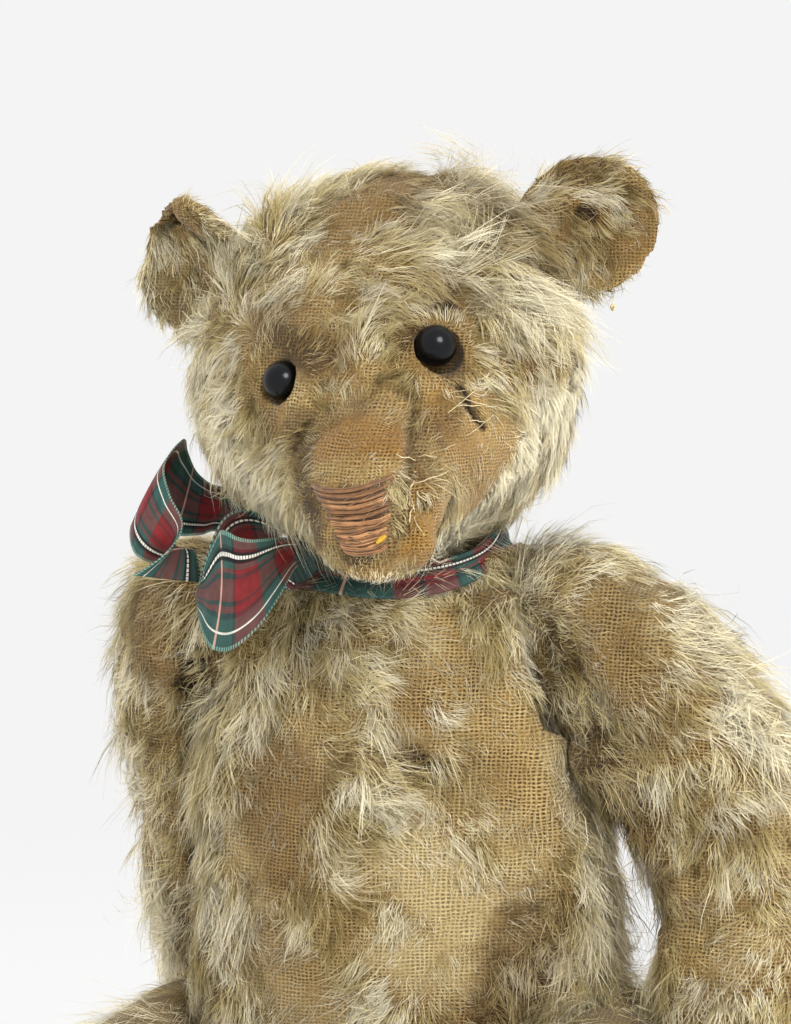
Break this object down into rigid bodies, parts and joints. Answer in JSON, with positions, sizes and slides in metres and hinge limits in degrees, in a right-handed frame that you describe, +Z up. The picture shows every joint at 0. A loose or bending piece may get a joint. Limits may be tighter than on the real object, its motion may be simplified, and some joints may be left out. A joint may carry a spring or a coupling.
{
  "type": "jointed teddy bear",
  "caption": "Threadbare mohair teddy bear, seated, with turning head, arms and legs and a worn tartan ribbon tied at its neck.",
  "frame": {"origin": "centre of the footprint's box, on the surface the bear sits on", "axes": "+Z up, the bear faces -Y, its left side is at +X"},
  "size_m": [0.2481, 0.2498, 0.3206],
  "materials": {
    "mohair_plush": "worn pale mohair pile, bare to its woven cotton backing in places",
    "wool_felt": "matt rubbed tan felt",
    "boot_button": "polished black with fine scratches",
    "nose_thread": "horizontal satin stitches in faded rust cotton",
    "tartan_ribbon": "creased taffeta in a deep red and teal check with white lines",
    "fibre_board": "raw hard fibre board",
    "dull_steel": "dull, lightly rusted"
  },
  "bodies": {
    "torso": {"torso": "mohair_plush", "neck_ribbon": "tartan_ribbon", "neck_body_disc": "fibre_board", "neck_body_washer": "dull_steel", "shoulder_right_body_disc": "fibre_board", "shoulder_right_body_washer": "dull_steel", "shoulder_left_body_disc": "fibre_board", "shoulder_left_body_washer": "dull_steel", "hip_right_body_disc": "fibre_board", "hip_right_body_washer": "dull_steel", "hip_left_body_disc": "fibre_board", "hip_left_body_washer": "dull_steel"},
    "head": {"head": "mohair_plush", "ear_right": "mohair_plush", "ear_left": "mohair_plush", "eye_right": "boot_button", "eye_left": "boot_button", "nose_stitching": "nose_thread", "neck_limb_disc": "fibre_board", "neck_limb_washer": "dull_steel", "neck_cotter_pin": "dull_steel"},
    "arm_right": {"arm_right": "mohair_plush", "paw_pad_right": "wool_felt", "shoulder_right_limb_disc": "fibre_board", "shoulder_right_limb_washer": "dull_steel", "shoulder_right_cotter_pin": "dull_steel"},
    "arm_left": {"arm_left": "mohair_plush", "paw_pad_left": "wool_felt", "shoulder_left_limb_disc": "fibre_board", "shoulder_left_limb_washer": "dull_steel", "shoulder_left_cotter_pin": "dull_steel"},
    "leg_right": {"leg_right": "mohair_plush", "foot_pad_right": "wool_felt", "hip_right_limb_disc": "fibre_board", "hip_right_limb_washer": "dull_steel", "hip_right_cotter_pin": "dull_steel"},
    "leg_left": {"leg_left": "mohair_plush", "foot_pad_left": "wool_felt", "hip_left_limb_disc": "fibre_board", "hip_left_limb_washer": "dull_steel", "hip_left_cotter_pin": "dull_steel"}
  },
  "joints": [
    {"name": "neck", "type": "hinge", "parent": "torso", "child": "head", "pos_m": [-0.0051, 0.0452, 0.2034], "axis": [0, 0, 1], "range_deg": [-5, 180]},
    {"name": "shoulder_right", "type": "hinge", "parent": "torso", "child": "arm_right", "pos_m": [-0.0466, 0.0432, 0.174], "axis": [-0.9703, 0, 0.2419], "range_deg": [-90, 2]},
    {"name": "shoulder_left", "type": "hinge", "parent": "torso", "child": "arm_left", "pos_m": [0.0364, 0.0432, 0.174], "axis": [-0.9703, 0, -0.2419], "range_deg": [-90, 140]},
    {"name": "hip_right", "type": "hinge", "parent": "torso", "child": "leg_right", "pos_m": [-0.0481, 0.0452, 0.036], "axis": [-0.9781, 0.2079, 0], "range_deg": [-100, 35]},
    {"name": "hip_left", "type": "hinge", "parent": "torso", "child": "leg_left", "pos_m": [0.0379, 0.0452, 0.036], "axis": [-0.9781, -0.2079, 0], "range_deg": [-100, 35]}
  ]
}
